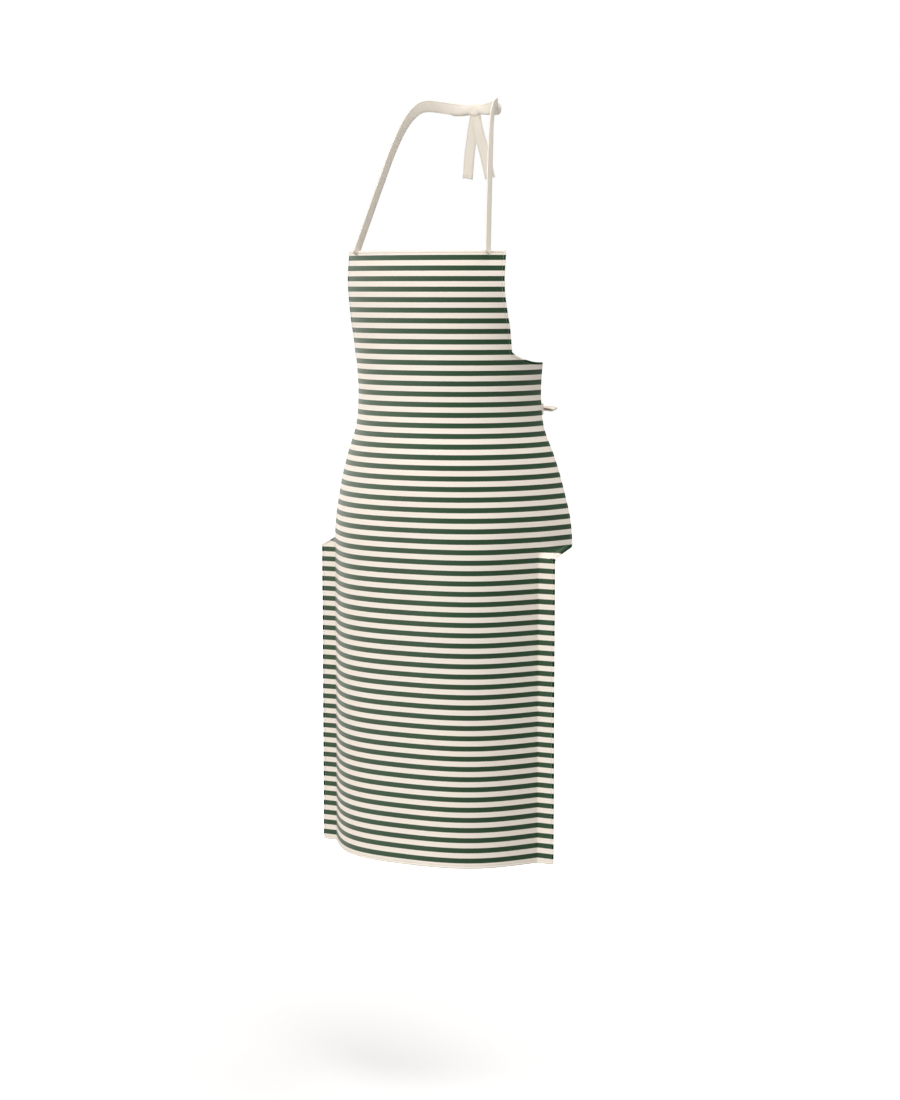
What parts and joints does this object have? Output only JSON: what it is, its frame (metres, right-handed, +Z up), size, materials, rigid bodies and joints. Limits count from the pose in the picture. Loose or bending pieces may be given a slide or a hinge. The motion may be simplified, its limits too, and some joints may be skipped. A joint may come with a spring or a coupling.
{
  "type": "bib apron",
  "caption": "Striped cotton bib apron in its worn shape, with tied neck straps, ties round the waist, bows at the nape and the back, and a creased flange down each side of the skirt.",
  "frame": {"origin": "the nape of the neck, where the tied straps rest", "axes": "+X to the wearer's left, -Y to the front, +Z up"},
  "size_m": [0.36, 0.2763, 1.0423],
  "materials": {
    "striped_cotton": "woven, level green and cream stripes",
    "cream_tape": "woven"
  },
  "bodies": {
    "root": {"apron_panel": "striped_cotton", "neck_strap_left": "cream_tape", "neck_strap_right": "cream_tape", "neck_knot": "cream_tape", "neck_loop_left": "cream_tape", "neck_loop_right": "cream_tape", "neck_tail_left": "cream_tape", "neck_tail_right": "cream_tape", "waist_tie_left": "cream_tape", "waist_tie_right": "cream_tape", "waist_knot": "cream_tape", "waist_loop_left": "cream_tape", "waist_loop_right": "cream_tape", "waist_tail_left": "cream_tape", "waist_tail_right": "cream_tape"}
  },
  "joints": []
}
